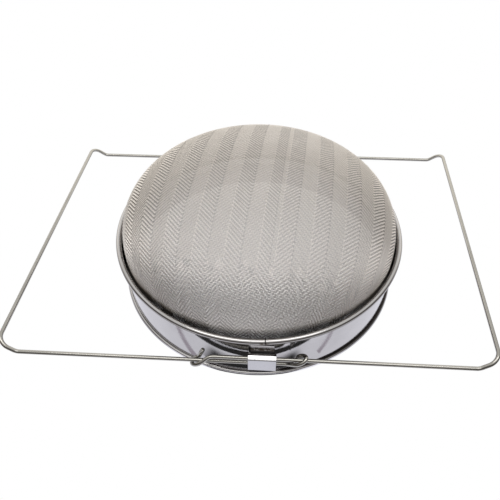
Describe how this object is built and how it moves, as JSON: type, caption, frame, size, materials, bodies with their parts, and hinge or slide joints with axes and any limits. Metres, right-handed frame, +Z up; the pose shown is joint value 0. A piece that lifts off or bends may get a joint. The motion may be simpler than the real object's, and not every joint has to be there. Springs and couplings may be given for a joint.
{
  "type": "double sieve strainer",
  "caption": "Round double honey strainer: a deep fine-mesh sieve nested over a shallow coarse one, with two sliding wire bails that hook it over a bucket.",
  "frame": {"origin": "middle of the flat foot that the coarse sieve's rolled rim stands on, on the sieves' common axis, as pictured: dome upwards", "axes": "+Z up along the sieves' axis towards the dome's crown, +X along the bails' legs towards the right bail's crossbar, -Y towards the front clip"},
  "size_m": [0.3665, 0.2526, 0.1042],
  "materials": {
    "polished_sheet": "polished stainless steel sheet",
    "clip_steel": "bright folded stainless steel strip",
    "bail_wire": "drawn and polished stainless steel wire",
    "ring_steel": "plain stainless steel strip",
    "fine_cloth": "fine woven steel wire cloth in a herringbone twill",
    "coarse_cloth": "coarse plain-woven steel wire cloth"
  },
  "bodies": {
    "coarse_sieve": {"coarse_hoop": "polished_sheet", "coarse_rim_wire": "bail_wire", "coarse_mesh": "coarse_cloth", "coarse_mesh_ring": "ring_steel"},
    "fine_sieve": {"fine_hoop": "polished_sheet", "fine_rim_wire": "bail_wire", "fine_mesh": "fine_cloth", "fine_mesh_ring": "ring_steel", "front_clip": "clip_steel", "rear_clip": "clip_steel", "front_bracket": "clip_steel", "rear_bracket": "clip_steel"},
    "left_bail": {"left_bail": "bail_wire"},
    "right_bail": {"right_bail": "bail_wire"}
  },
  "joints": [
    {"name": "fine_sieve_lift", "type": "slide", "parent": "coarse_sieve", "child": "fine_sieve", "axis": [0, 0, 1], "range_m": [0, 0.06]},
    {"name": "left_bail_slide", "type": "slide", "parent": "fine_sieve", "child": "left_bail", "axis": [-1, 0, 0], "range_m": [-0.058, 0.006]},
    {"name": "right_bail_slide", "type": "slide", "parent": "fine_sieve", "child": "right_bail", "axis": [1, 0, 0], "range_m": [-0.054, 0.025]}
  ]
}
